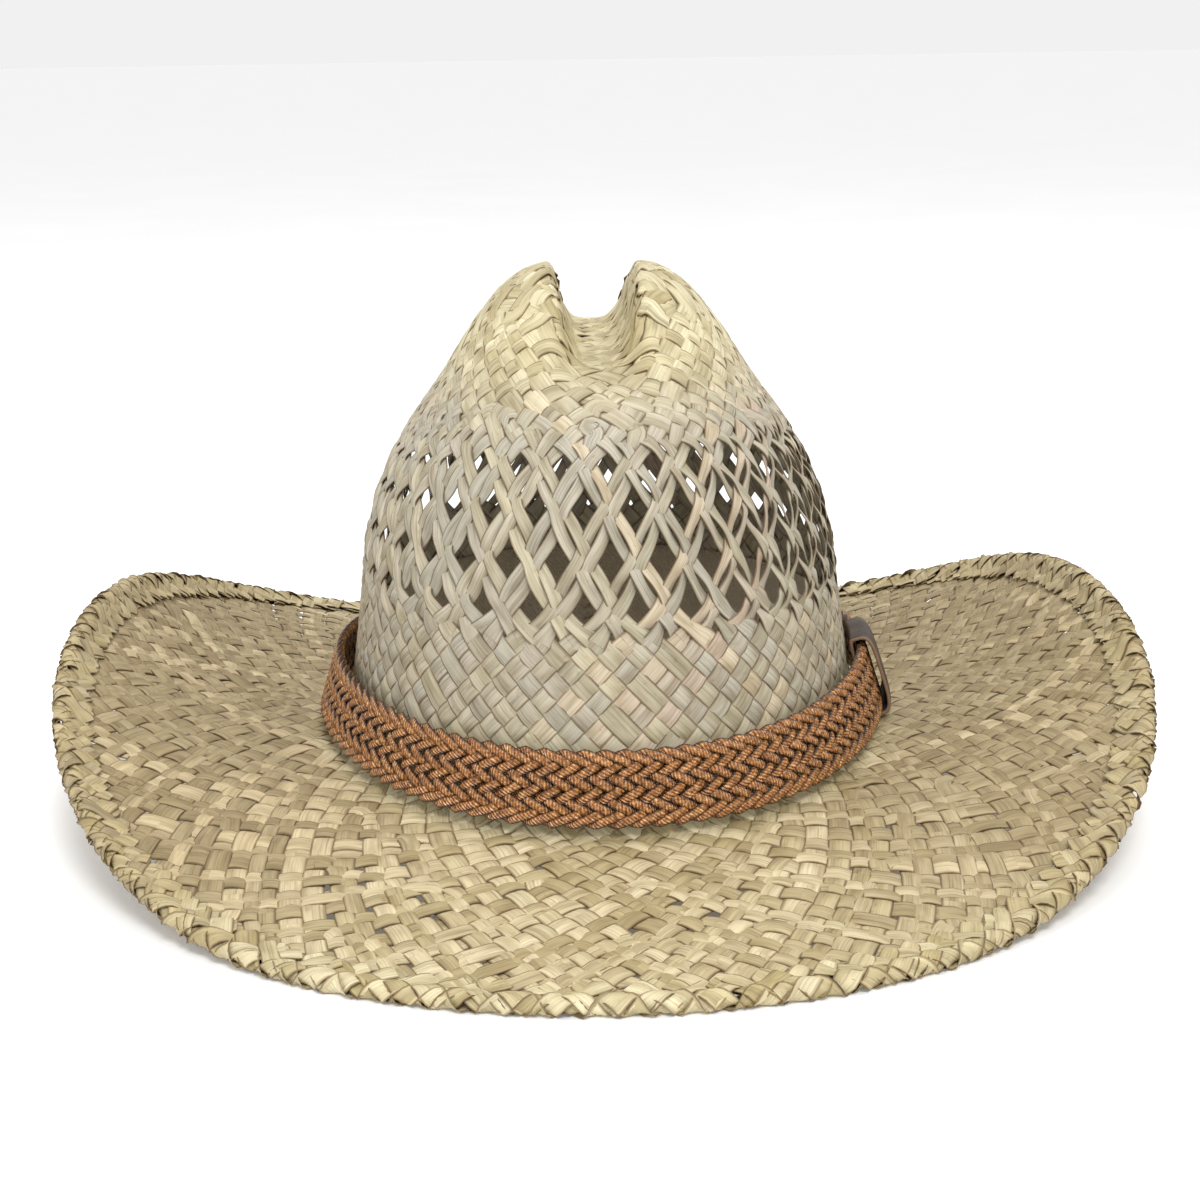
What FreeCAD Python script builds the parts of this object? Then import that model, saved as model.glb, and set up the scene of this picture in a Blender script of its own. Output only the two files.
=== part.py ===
import FreeCAD, Part
import math
import os
from FreeCAD import Vector

# Woven straw western hat with a braided band, a leather keeper and a sweatband.
# Frame: +Z up, the front of the hat faces -Y, +X is to the right of someone facing the front.
# The origin lies on the surface that the brim rests on, under the middle of the hat.

# Driving dimensions, mm
WEAVE_HALF = 0.7            # half the thickness of the double layer of leaf strips
BREAK_X = 80.5              # half-width of the crown where the brim breaks away
BREAK_Y = 101.0             # half-length of the crown there
BRIM_WIDTH = 80.0           # mean width of the brim, along its surface
BRIM_WIDTH_SWING = 1.5      # extra width front and back, and less at the sides
EDGE_LIFT = 49.0            # how high the curled sides of the brim rise
EDGE_REST = 0.85            # height of the middle of the brim edge where it rests
CURL_CENTRE = 99.0          # angle from the front where the curl is highest, degrees
CURL_SPAN = 75.0            # half-span of the curl, degrees
CREASE_FLOOR = 128.0        # height of the bottom of the crease
CREASE_SLOPE = 0.045        # the crease rises this much per mm towards the back
CREASE_HALF_WIDTH = 7.2     # half-width of the crease floor
CREASE_FLARE = 4.0          # how much wider it opens at the front lip
CREASE_ROUNDING = 1.7       # softness of the fold along the ridges
CREASE_POWER = 7            # steepness of the crease walls

HOLE_COUNT = 34             # openwork holes in each row
HOLE_ROWS = (               # (place on the crown profile, half-width, half-height)
    (0.485, 2.0, 2.9),
    (0.550, 2.9, 4.7),
    (0.622, 2.9, 4.9),
    (0.690, 2.0, 3.1),
)
TIP_END = 0.440             # where the close weave of the tip meets the openwork
WALL_START = 0.735          # where the openwork meets the close weave of the wall

BAND_HEIGHT = 20.0
BAND_THICKNESS = 2.6
BAND_BOTTOM = (82.3, 103.1)     # half-width and half-length of the band's lower edge
BAND_LEAN = (6.2, 5.4)          # how much narrower its upper edge is
BAND_CLEARANCE = 3.4            # from the brim break up to the band's lower edge

KEEPER_ANGLE = 84.0         # where the keeper sits, degrees from the front
KEEPER_HALF_ANGLE = 6.2     # half the part of the band that it covers, degrees
KEEPER_LEATHER = 1.0
KEEPER_BEHIND = 0.85        # gap between the braid and the strap behind it
KEEPER_BELOW = 0.6          # gap under the braid
KEEPER_ABOVE = 2.4          # gap over the braid
KEEPER_BULGE = 3.4          # gap between the braid and the keeper's outer face

SWEATBAND_THICKNESS = 1.3
SWEATBAND_TOP = 0.800       # place of its upper edge on the crown profile
SWEATBAND_FOOT = 0.985      # place of its lower edge there
SWEATBAND_SEAM = 0.955      # place of the thread that holds it
SWEATBAND_SKIN = WEAVE_HALF + 0.05      # from the middle of the weave to its outer face
JOIN_BARS = 7               # bars of thread across the join at the back
JOIN_START = 0.815          # place of the first bar
JOIN_STEP = 0.02
JOIN_HALF = 2.2             # half the length of a bar, mm
WIRE_RADIUS = 0.8
WIRE_SIDES = 12
WIRE_PLACE = 1.985          # the brim runs from 1 at the crown to 2 at its edge
WIRE_GAP = 0.15
HEM_WIDTH = 7.5
HEM_FLOOR = WEAVE_HALF + 0.1            # underside of the turned-over leaf ends
HEM_PLY = 1.1               # thickness of the turned-over leaf ends
HEM_LIP = 0.016             # how far the fold reaches past the brim edge
HEM_INNER_LIP = 0.004       # how far its inside does
THREAD_RADIUS = 0.3
THREAD_GAP = 0.1            # between a stitch and the face it lies on
HEM_STITCHES = 120
HEM_SEAM_IN = 0.008         # from the hem's inner edge in to its thread
SWEATBAND_STITCHES = 96

# Half-profiles of the crown before the crease is pressed in: (radius, height)
SIDE_PROFILE = [
    (0, 150.6), (12, 150.3), (19, 148.8), (25, 145), (33, 136), (44.6, 118.5), (54.5, 104.5),
    (62.5, 89), (66.9, 74), (69.4, 56), (71.2, 42), (73.2, 30), (75.8, 22.3), (BREAK_X, 18.5),
]
FRONT_PROFILE = [
    (0, 150.6), (15, 150), (30, 146), (43, 138), (56, 128), (69, 117), (78, 105.5),
    (83.5, 94), (86.5, 81), (89.5, 62), (91.4, 46), (93.8, 29), (96.4, 18), (BREAK_Y, 12.5),
]
BREAK_FLARE = 1.25          # how flat the wall runs out into the brim
AROUND = 120                # stations around the hat
TIP_RADII = (               # stations across the crease, mm from the middle of the tip
    0, 1.5, 3, 4.5, 6, 7.2, 8.4, 9.6, 10.8, 12, 13.5, 15, 17, 19.5, 22.5, 26, 30, 34, 38)
TIP_LENGTH = 190.0          # length of the crown profile that turns those into places on it
TIP_RINGS = 10              # stations from there out to the openwork
CUTTER_HALF = 4.0           # how far a hole's cutter reaches each side of the weave


def chord_knots(profile):
    total = [0.0]
    for (r0, z0), (r1, z1) in zip(profile, profile[1:]):
        total.append(total[-1] + math.hypot(r1 - r0, z1 - z0))
    return [value / total[-1] for value in total]


def profile_tangents(profile, knots):
    steps = [b - a for a, b in zip(knots, knots[1:])]
    slopes = []
    for (p0, p1), step in zip(zip(profile, profile[1:]), steps):
        slopes.append(((p1[0] - p0[0]) / step, (p1[1] - p0[1]) / step))
    tangents = [(slopes[0][0], 0.0)]
    for i in range(1, len(profile) - 1):
        before, after = steps[i - 1], steps[i]
        share = before + after
        tangents.append(tuple(
            (slopes[i - 1][k] * after + slopes[i][k] * before) / share for k in (0, 1)))
    tangents.append((slopes[-1][0] * BREAK_FLARE, 0.0))
    return tangents


def make_profile(profile):
    knots = chord_knots(profile)
    return profile, knots, profile_tangents(profile, knots)


SIDE = make_profile(SIDE_PROFILE)
FRONT = make_profile(FRONT_PROFILE)


def on_profile(spline, t):
    """A point of a half-profile at t, from 0 at the tip to 1 at the brim break."""
    points, knots, tangents = spline
    t = min(max(t, 0.0), 1.0)
    i = 0
    while i < len(knots) - 2 and t > knots[i + 1]:
        i += 1
    step = knots[i + 1] - knots[i]
    u = (t - knots[i]) / step
    h00 = 2 * u ** 3 - 3 * u ** 2 + 1
    h10 = (u ** 3 - 2 * u ** 2 + u) * step
    h01 = 3 * u ** 2 - 2 * u ** 3
    h11 = (u ** 3 - u ** 2) * step
    return tuple(
        h00 * points[i][k] + h10 * tangents[i][k] + h01 * points[i + 1][k] + h11 * tangents[i + 1][k]
        for k in (0, 1))


def crease_height(x, y):
    flare = min(max((-y - 28.0) / 30.0, 0.0), 1.4) ** 2
    half_width = CREASE_HALF_WIDTH + CREASE_FLARE * flare
    wall = min(abs(x) / half_width, 3.0) ** CREASE_POWER
    return CREASE_FLOOR + CREASE_SLOPE * min(max(y, -70.0), 40.0) + wall


def soft_minimum(a, b, softness):
    low = min(a, b)
    return low - softness * math.log(1.0 + math.exp(-abs(a - b) / softness))


def crown_point(angle, t):
    side_r, side_z = on_profile(SIDE, t)
    front_r, front_z = on_profile(FRONT, t)
    weight = abs(math.sin(angle)) ** 3
    x = side_r * math.sin(angle)
    y = -front_r * math.cos(angle)
    z = front_z * (1 - weight) + side_z * weight
    return Vector(x, y, soft_minimum(z, crease_height(x, y), CREASE_ROUNDING))


def edge_curl(angle):
    """From 0 where the brim edge rests to 1 at the top of the curled sides."""
    degrees = abs(math.degrees(math.atan2(math.sin(angle), math.cos(angle))))
    offset = (degrees - CURL_CENTRE) / CURL_SPAN
    return math.cos(math.pi / 2 * min(max(offset, -1.0), 1.0)) ** 2


def brim_width(angle):
    return BRIM_WIDTH + BRIM_WIDTH_SWING * math.cos(2 * angle)


def brim_point(angle, s):
    """A point of the brim, s from 0 at the crown to 1 at the edge."""
    start = crown_point(angle, 1.0)
    out = Vector(math.sin(angle) / BREAK_X, -math.cos(angle) / BREAK_Y, 0)
    out.normalize()
    curl = edge_curl(angle)
    late = 0.45 + 0.4 * curl
    early = 1.0 - late
    rise = EDGE_REST + (EDGE_LIFT - EDGE_REST) * curl - start.z
    width = brim_width(angle)
    stretch = early ** 2 * s + 2 * early * late * s ** 2 + 4.0 / 3.0 * late ** 2 * s ** 3
    reach = width * s - rise ** 2 * stretch / (2 * width)
    return start + out * reach + Vector(0, 0, rise * (early * s + late * s ** 2))


def hat_point(angle, m):
    """The middle of the weave: m from 0 at the tip to 1 at the brim break to 2 at the edge."""
    if m <= 1.0:
        return crown_point(angle, m)
    return brim_point(angle, m - 1.0)


def hat_normal(angle, m):
    """Outward on the crown and upward on the brim."""
    if m < 0.004:
        return Vector(0, 0, 1)
    da, dm = 0.004, 0.002
    if m + dm > 1.0 > m - dm:
        m = 1.0 - dm if m < 1.0 else 1.0 + dm
    around = hat_point(angle + da, m) - hat_point(angle - da, m)
    along = hat_point(angle, m + dm) - hat_point(angle, m - dm)
    normal = along.cross(around)
    normal.normalize()
    return normal


def hat_offset(angle, m, distance):
    return hat_point(angle, m) + hat_normal(angle, m) * distance


def band_point(angle, height, outwards):
    """A point of the band: height up its slant and outwards from its middle surface."""
    share = height / BAND_HEIGHT
    slant = math.atan2(BAND_LEAN[0], BAND_HEIGHT)
    x = (BAND_BOTTOM[0] - BAND_LEAN[0] * share) * math.sin(angle)
    y = -(BAND_BOTTOM[1] - BAND_LEAN[1] * share) * math.cos(angle)
    out = Vector(math.sin(angle) / BAND_BOTTOM[0], -math.cos(angle) / BAND_BOTTOM[1], 0)
    out.normalize()
    out = out * math.cos(slant) + Vector(0, 0, math.sin(slant))
    base = crown_point(angle, 1.0).z + BAND_CLEARANCE
    return Vector(x, y, base + height) + out * outwards


def spline_surface(rows, closed):
    """A cubic surface whose control points are rows of points; closed joins each row's ends."""
    count_u, count_v = len(rows), len(rows[0])
    degree_u = min(3, count_u - 1)
    inner = count_u - degree_u - 1
    knots_u = [float(i) for i in range(inner + 2)]
    mults_u = [degree_u + 1] + [1] * inner + [degree_u + 1]
    if closed:
        knots_v = [float(i) for i in range(count_v + 1)]
        mults_v = [1] * (count_v + 1)
    else:
        inner = count_v - 4
        knots_v = [float(i) for i in range(inner + 2)]
        mults_v = [4] + [1] * inner + [4]
    surface = Part.BSplineSurface()
    surface.buildFromPolesMultsKnots(
        rows, mults_u, mults_v, knots_u, knots_v, False, closed, degree_u, 3)
    return surface


def closed_solid(faces, tolerance=0.01):
    shell = Part.makeCompound(faces)
    shell.sewShape(tolerance)
    if shell.ShapeType != "Shell":
        shell = shell.Shells[0]
    solid = Part.makeSolid(shell)
    if solid.Volume < 0:
        solid.reverse()
    return solid


def ring_solid(place, section, around=AROUND):
    """A closed ring: each side of the section is a list of (along, off) stations."""
    faces = []
    for side in section:
        rows = []
        for along, off in side:
            rows.append([place(2 * math.pi * k / around, along, off) for k in range(around)])
        faces.append(spline_surface(rows, True).toShape())
    return closed_solid(faces)


def stations(first, last, count, off):
    return [(first + (last - first) * k / (count - 1), off) for k in range(count)]


def sheet_section(first, last, count, low, high):
    """A sheet between two offsets: over, outer end, under, inner end."""
    over = stations(first, last, count, high)
    under = stations(last, first, count, low)
    return [over, [over[-1], under[0]], under, [under[-1], over[0]]]


def crown_tip():
    """The creased top: two skins that meet at the middle of the tip and a ring-shaped end."""
    levels = [r / TIP_LENGTH for r in TIP_RADII]
    step = (TIP_END - levels[-1]) / TIP_RINGS
    levels += [levels[-1] + step * (k + 1) for k in range(TIP_RINGS)]
    angles = [2 * math.pi * k / AROUND for k in range(AROUND)]
    faces = []
    for off in (WEAVE_HALF, -WEAVE_HALF):
        rows = [[hat_offset(a, m, off) for a in angles] for m in levels]
        faces.append(spline_surface(rows, True).toShape())
    end = [[hat_offset(a, TIP_END, off) for a in angles] for off in (WEAVE_HALF, -WEAVE_HALF)]
    faces.append(spline_surface(end, True).toShape())
    return closed_solid(faces)


def even_angle(turn):
    """Spreads a fraction of a turn evenly along the oval instead of evenly in angle."""
    sigma = 2 * math.pi * turn
    return sigma + 0.06 * math.sin(2 * sigma)


def hole_cutter(angle, m, half_width, half_height):
    centre = hat_point(angle, m)
    normal = hat_normal(angle, m)
    along = hat_point(angle, m + 0.01) - hat_point(angle, m - 0.01)
    up = along - normal * along.dot(normal)
    up.normalize()
    oval = Part.Ellipse(Vector(0, 0, 0), half_height, half_width)
    wire = Part.Wire([oval.toShape()])
    side = normal.cross(up)
    start = centre - normal * CUTTER_HALF
    frame = FreeCAD.Matrix(
        up.x, side.x, normal.x, start.x,
        up.y, side.y, normal.y, start.y,
        up.z, side.z, normal.z, start.z,
        0, 0, 0, 1)
    prism = Part.Face(wire).extrude(Vector(0, 0, 2 * CUTTER_HALF))
    return prism.transformShape(frame, True)


def crown_openwork():
    ring = ring_solid(hat_offset, sheet_section(TIP_END, WALL_START, 12, -WEAVE_HALF, WEAVE_HALF))
    cutters = []
    for row, (m, half_width, half_height) in enumerate(HOLE_ROWS):
        for k in range(HOLE_COUNT):
            angle = even_angle((k + 0.5 * (row % 2)) / HOLE_COUNT)
            cutters.append(hole_cutter(angle, m, half_width, half_height))
    return ring.cut(cutters)


def crown_wall():
    section = sheet_section(WALL_START, 1.0, 10, -WEAVE_HALF, WEAVE_HALF)
    return ring_solid(hat_offset, section)


def brim():
    section = sheet_section(1.0, 2.0, 14, -WEAVE_HALF, WEAVE_HALF)
    return ring_solid(hat_offset, section)


def hem_inner_edge():
    return 2.0 - HEM_WIDTH / BRIM_WIDTH


def brim_hem():
    """Leaf ends turned up around the wire and laid back over the brim."""
    ply_top = HEM_FLOOR + HEM_PLY
    wire_top = HEM_FLOOR + 2 * WIRE_RADIUS
    inner = hem_inner_edge()
    lip = 2.0 + HEM_LIP
    fold = 2.0 + HEM_INNER_LIP
    over = [
        (inner, ply_top), (inner + 0.02, ply_top), (inner + 0.045, ply_top), (1.968, ply_top + 0.7),
        (WIRE_PLACE, wire_top + 1.0), (2.002, wire_top + 0.4), (lip, 0.6), (lip, -0.4),
        (2.0 + HEM_LIP * 0.6, -WEAVE_HALF),
    ]
    end = [over[-1], (fold, -WEAVE_HALF)]
    under = [
        end[-1], (fold, 0.3), (fold, HEM_FLOOR + 0.6), (2.001, wire_top + 0.3),
        (WIRE_PLACE, wire_top + 0.5), (1.969, wire_top + 0.1), (1.966, HEM_FLOOR),
        (1.955, HEM_FLOOR), (inner + 0.02, HEM_FLOOR), (inner, HEM_FLOOR),
    ]
    return ring_solid(hat_offset, [over, end, under, [under[-1], over[0]]])


def brim_wire():
    """A steel wire lying on the brim inside the hem, its round section given flat sides."""
    centre = WEAVE_HALF + WIRE_GAP + WIRE_RADIUS
    corners = []
    for k in range(WIRE_SIDES + 1):
        turn = 2 * math.pi * (k % WIRE_SIDES) / WIRE_SIDES
        along = WIRE_PLACE + WIRE_RADIUS * math.cos(turn) / BRIM_WIDTH
        corners.append((along, centre + WIRE_RADIUS * math.sin(turn)))
    sides = [[corners[k], corners[k + 1]] for k in range(WIRE_SIDES)]
    return ring_solid(hat_offset, sides)


def stitch(a, b, radius):
    """One laid stitch: a short length of thread."""
    run = b - a
    return Part.makeCylinder(radius, run.Length, a, run)


def stitch_row(count, m, off, share):
    """A ring of separate stitches; each covers a share of its spacing."""
    stitches = []
    for k in range(count):
        ends = [hat_offset(even_angle((k + side * share / 2) / count), m, off) for side in (-1, 1)]
        stitches.append(stitch(ends[0], ends[1], THREAD_RADIUS))
    return Part.makeCompound(stitches)


def hem_stitches():
    off = WEAVE_HALF + THREAD_RADIUS + THREAD_GAP
    return stitch_row(HEM_STITCHES, hem_inner_edge() - HEM_SEAM_IN, off, 0.45)


def sweatband():
    inside = SWEATBAND_SKIN + SWEATBAND_THICKNESS
    section = sheet_section(SWEATBAND_TOP, SWEATBAND_FOOT, 9, -inside, -SWEATBAND_SKIN)
    return ring_solid(hat_offset, section)


def sweatband_thread_off():
    """From the middle of the weave in to the thread on the sweatband's face."""
    return -(SWEATBAND_SKIN + SWEATBAND_THICKNESS + THREAD_RADIUS + THREAD_GAP)


def sweatband_stitches():
    return stitch_row(SWEATBAND_STITCHES, SWEATBAND_SEAM, sweatband_thread_off(), 0.5)


def sweatband_join_stitches():
    """Bars of thread across the join at the back of the sweatband."""
    half = JOIN_HALF / BREAK_X
    off = sweatband_thread_off()
    bars = []
    for k in range(JOIN_BARS):
        m = JOIN_START + JOIN_STEP * k
        ends = [hat_offset(math.pi + side * half, m, off) for side in (-1, 1)]
        bars.append(stitch(ends[0], ends[1], THREAD_RADIUS))
    return Part.makeCompound(bars)


def hat_band():
    half = BAND_THICKNESS / 2
    top = BAND_HEIGHT
    edge = 0.6      # rounding along the band's edges, mm
    outer = stations(edge, top - edge, 6, half)
    inner = stations(top - edge, edge, 6, -half)
    over = [outer[-1], (top, half * 0.6), (top, -half * 0.6), inner[0]]
    under = [inner[-1], (0.0, -half * 0.6), (0.0, half * 0.6), outer[0]]
    return ring_solid(band_point, [outer, over, inner, under])


def keeper_loop(leather):
    """Stations round the keeper's opening, or round its outside when leather is added."""
    half = BAND_THICKNESS / 2
    low = -KEEPER_BELOW - leather
    high = BAND_HEIGHT + KEEPER_ABOVE + leather
    middle, reach = (low + high) / 2, (high - low) / 2
    loop = []
    for k in range(48):
        turn = 2 * math.pi * k / 48
        s, c = math.sin(turn), math.cos(turn)
        height = middle + reach * math.copysign(abs(s) ** 0.42, s)
        if c > 0:
            off = (half + KEEPER_BULGE + leather) * c ** 0.7
        else:
            off = -(half + KEEPER_BEHIND + leather) * abs(c) ** 0.25
        loop.append((height, off))
    return loop


def band_keeper():
    """A leather loop round the braid, wide open at both ends."""
    count = 9
    start = math.radians(KEEPER_ANGLE - KEEPER_HALF_ANGLE)
    step = math.radians(2 * KEEPER_HALF_ANGLE) / (count - 1)
    angles = [start + step * k for k in range(count)]
    inside, outside = keeper_loop(0.0), keeper_loop(KEEPER_LEATHER)
    faces = []
    for loop in (outside, inside):
        rows = [[band_point(a, height, off) for height, off in loop] for a in angles]
        faces.append(spline_surface(rows, True).toShape())
    for a in (angles[0], angles[-1]):
        rows = [[band_point(a, height, off) for height, off in loop] for loop in (outside, inside)]
        faces.append(spline_surface(rows, True).toShape())
    return closed_solid(faces)


NODES = {
    "crown_tip": crown_tip,
    "crown_openwork": crown_openwork,
    "crown_wall": crown_wall,
    "brim": brim,
    "brim_hem": brim_hem,
    "brim_wire": brim_wire,
    "hem_stitches": hem_stitches,
    "sweatband": sweatband,
    "sweatband_stitches": sweatband_stitches,
    "sweatband_join_stitches": sweatband_join_stitches,
    "hat_band": hat_band,
    "band_keeper": band_keeper,
}


def main():
    os.makedirs("parts", exist_ok=True)
    for name, make in NODES.items():
        make().exportStep("parts/" + name + ".step")


if __name__ == "__main__":
    main()
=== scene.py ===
import math
import bpy
import numpy as np
from mathutils import Matrix


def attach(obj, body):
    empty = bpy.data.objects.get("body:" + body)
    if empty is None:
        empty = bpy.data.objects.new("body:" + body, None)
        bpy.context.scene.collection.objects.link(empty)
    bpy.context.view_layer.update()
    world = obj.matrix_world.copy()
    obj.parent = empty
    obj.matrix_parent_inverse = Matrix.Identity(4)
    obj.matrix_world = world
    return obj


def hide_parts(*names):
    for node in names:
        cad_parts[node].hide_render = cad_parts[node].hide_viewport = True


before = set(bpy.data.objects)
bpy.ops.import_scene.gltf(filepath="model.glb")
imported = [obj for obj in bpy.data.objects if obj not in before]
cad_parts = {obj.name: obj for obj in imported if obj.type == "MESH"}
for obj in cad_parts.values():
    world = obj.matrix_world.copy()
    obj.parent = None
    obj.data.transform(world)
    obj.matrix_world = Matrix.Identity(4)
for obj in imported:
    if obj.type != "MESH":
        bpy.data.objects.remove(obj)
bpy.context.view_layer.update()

# Everything is worked out in millimetres, in the frame of the CAD model, and turned
# into metres when a mesh is made. Angles run from the front of the hat towards +X.
MM = 0.001
FULL_TURN = 2 * math.pi
RNG = np.random.default_rng(11)

# The hat's surface, as the CAD model has it, except for the softer walls of the crease
SIDE = np.array([
    (0, 150.6), (12, 150.3), (19, 148.8), (25, 145), (33, 136), (44.6, 118.5), (54.5, 104.5),
    (62.5, 89), (66.9, 74), (69.4, 56), (71.2, 42), (73.2, 30), (75.8, 22.3), (80.5, 18.5)], float)
FRONT = np.array([
    (0, 150.6), (15, 150), (30, 146), (43, 138), (56, 128), (69, 117), (78, 105.5),
    (83.5, 94), (86.5, 81), (89.5, 62), (91.4, 46), (93.8, 29), (96.4, 18), (101, 12.5)], float)
BREAK_X, BREAK_Y = 80.5, 101.0
BREAK_FLARE = 1.25
BRIM_WIDTH, BRIM_WIDTH_SWING = 80.0, 1.5
EDGE_LIFT, EDGE_REST = 49.0, 0.85
CURL_CENTRE, CURL_SPAN = 99.0, 75.0
RISE_LATE, RISE_LATE_CURLED = 0.45, 0.4   # share of the brim's rise that comes near its edge
CREASE_FLOOR, CREASE_SLOPE, CREASE_ENDS = 128.0, 0.045, (-70.0, 40.0)
CREASE_HALF_WIDTH, CREASE_POWER, CREASE_STEEPEST = 5.4, 4, 5.0
CREASE_FLARE, FLARE_START, FLARE_RUN, FLARE_MOST = 3.4, 28.0, 30.0, 1.4
CREASE_ROUNDING = 4.2       # softness of the ridges beside the crease
OVAL_SPREAD = 0.06
PROBE = 0.004               # step for slopes of the surface, in angle and in m

# The weave: every strip is bent once, and its halves 0 and 1 lean opposite ways round the hat
STRIPS = 68                 # strips on the crown, and so halves that lean each way
GRID_BENDS = 8              # bends over each axis before others are added
GRID_PITCH = 6.4            # mm between strips in the middle of the tip
EVENING = 0.22              # how quickly the strips even out the room between them
SPACING = FULL_TURN / STRIPS
TIP_END = 0.44              # place on the crown profile where the openwork starts
TIP_REACH = 90.0            # length of strip from the middle of the tip to there, mm
WALL_REACH = 182.0          # length of the crown profile that the rest is a share of, mm
CROWN_END = TIP_REACH + (1 - TIP_END) * WALL_REACH
EDGE = CROWN_END + BRIM_WIDTH
RING_STEP = 0.9             # mm between stations, along the surface away from the tip
EDGE_STRIPS = 172           # strips at the brim edge
BEND_SPREAD = 2.2           # how far a rounded bend opens, mm
STRIP_HALF_THICK = 0.19
WAVE = 0.46                 # how far a strip swings over and under, mm
WAVE_TAIL = 6.5             # rings from a strip's last crossing to where the next would be
WAVE_SHARPNESS = 2.0
# where the crossings of the paired strips come: (place on the profile, strips passed)
OPEN_ROWS = ((0.440, 0.0), (0.485, 1.0), (0.550, 2.0), (0.622, 3.0), (0.690, 4.0), (0.735, 5.05))
PAIR_PULL = 0.30            # share of a spacing by which paired strips close up
PAIR_SWAY = 0.05
OPEN_END = 0.735
OPEN_REACH = TIP_REACH + (OPEN_END - TIP_END) * WALL_REACH


def run_length(points):
    """Length from the first point to each point along a path."""
    return np.concatenate([[0], np.cumsum(np.linalg.norm(np.diff(points, axis=0), axis=1))])


# The hem: the strips turn up round the wire and come back over the top of the brim.
# (mm out from the crown, mm above the middle of the weave)
HEM_PATH = np.array([
    (BRIM_WIDTH, 0.0), (80.45, 0.05), (81.0, 0.55), (81.25, 1.3), (81.1, 2.1), (80.5, 2.85),
    (79.5, 3.2), (78.4, 3.15), (77.4, 2.8), (76.5, 2.35), (75.6, 2.0), (74.7, 1.76), (73.8, 1.64),
    (72.9, 1.56), (72.1, 1.5), (71.3, 1.45)])
HEM_RUN = run_length(HEM_PATH)
HEM_PROBE = 0.7


# ---- the surface ----

def on_profile(profile, t):
    """Smooth curve through a profile; t runs from 0 at the tip to 1 at the brim."""
    knots = run_length(profile)
    knots = knots / knots[-1]
    steps = np.diff(knots)
    slopes = np.diff(profile, axis=0) / steps[:, None]
    tangents = np.empty_like(profile)
    before, after = steps[:-1, None], steps[1:, None]
    tangents[1:-1] = (slopes[:-1] * after + slopes[1:] * before) / (before + after)
    tangents[0] = (slopes[0, 0], 0.0)
    tangents[-1] = (slopes[-1, 0] * BREAK_FLARE, 0.0)
    t = np.clip(t, 0.0, 1.0)
    i = np.clip(np.searchsorted(knots, t, side="right") - 1, 0, len(steps) - 1)
    h = steps[i]
    u = (t - knots[i]) / h
    parts = (
        (2 * u ** 3 - 3 * u ** 2 + 1, profile[i]), ((u ** 3 - 2 * u ** 2 + u) * h, tangents[i]),
        (3 * u ** 2 - 2 * u ** 3, profile[i + 1]), ((u ** 3 - u ** 2) * h, tangents[i + 1]))
    return sum(weight[..., None] * value for weight, value in parts)


def crown_point(angle, t):
    """A point of the crown: the oval dome, or the crease where that is lower."""
    side, front = on_profile(SIDE, t), on_profile(FRONT, t)
    weight = np.abs(np.sin(angle)) ** 3
    x = side[..., 0] * np.sin(angle)
    y = -front[..., 0] * np.cos(angle)
    z = front[..., 1] * (1 - weight) + side[..., 1] * weight
    flare = np.clip((-y - FLARE_START) / FLARE_RUN, 0.0, FLARE_MOST) ** 2
    half_width = CREASE_HALF_WIDTH + CREASE_FLARE * flare
    wall = np.minimum(np.abs(x) / half_width, CREASE_STEEPEST) ** CREASE_POWER
    crease = CREASE_FLOOR + CREASE_SLOPE * np.clip(y, *CREASE_ENDS) + wall
    z = np.minimum(z, crease) - CREASE_ROUNDING * np.log(
        1.0 + np.exp(-np.abs(z - crease) / CREASE_ROUNDING))
    return np.stack([x, y, z], -1)


def brim_point(angle, s):
    """A point of the brim; s runs from 0 at the crown to 1 at the edge."""
    start = crown_point(angle, np.ones_like(angle))
    out = np.stack([np.sin(angle) / BREAK_X, -np.cos(angle) / BREAK_Y], -1)
    out /= np.linalg.norm(out, axis=-1, keepdims=True)
    degrees = np.abs(np.degrees(np.arctan2(np.sin(angle), np.cos(angle))))
    curl = np.cos(math.pi / 2 * np.clip((degrees - CURL_CENTRE) / CURL_SPAN, -1.0, 1.0)) ** 2
    late = RISE_LATE + RISE_LATE_CURLED * curl
    early = 1.0 - late
    rise = EDGE_REST + (EDGE_LIFT - EDGE_REST) * curl - start[..., 2]
    width = BRIM_WIDTH + BRIM_WIDTH_SWING * np.cos(2 * angle)
    stretch = early ** 2 * s + 2 * early * late * s ** 2 + 4.0 / 3.0 * late ** 2 * s ** 3
    reach = width * s - rise ** 2 * stretch / (2 * width)
    z = start[..., 2] + rise * (early * s + late * s ** 2)
    return np.concatenate([start[..., :2] + out * reach[..., None], z[..., None]], -1)


def hat_point(angle, m):
    """A point of the whole hat; m is 0 at the tip, 1 at the brim's root and 2 at its edge."""
    on_crown = crown_point(angle, np.minimum(m, 1.0))
    on_brim = brim_point(angle, np.maximum(m - 1.0, 0.0))
    return np.where((m <= 1.0)[..., None], on_crown, on_brim)


def unit(vectors):
    return vectors / np.maximum(np.linalg.norm(vectors, axis=-1, keepdims=True), 1e-9)


def hat_normal(angle, m):
    m = np.maximum(m, 0.006)
    around = hat_point(angle + PROBE, m) - hat_point(angle - PROBE, m)
    along = hat_point(angle, m + PROBE) - hat_point(angle, m - PROBE)
    return unit(np.cross(along, around))


def oval(sigma):
    """Spreads an even share of a turn evenly along the oval instead of evenly in angle."""
    return sigma + OVAL_SPREAD * np.sin(2 * sigma)


# The tip is measured along the real surface, down into the crease and out over the ridges.
TABLE_ANGLES = np.linspace(0, FULL_TURN, 361)
TABLE_STEPS = np.linspace(0, 1, 181)


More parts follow.
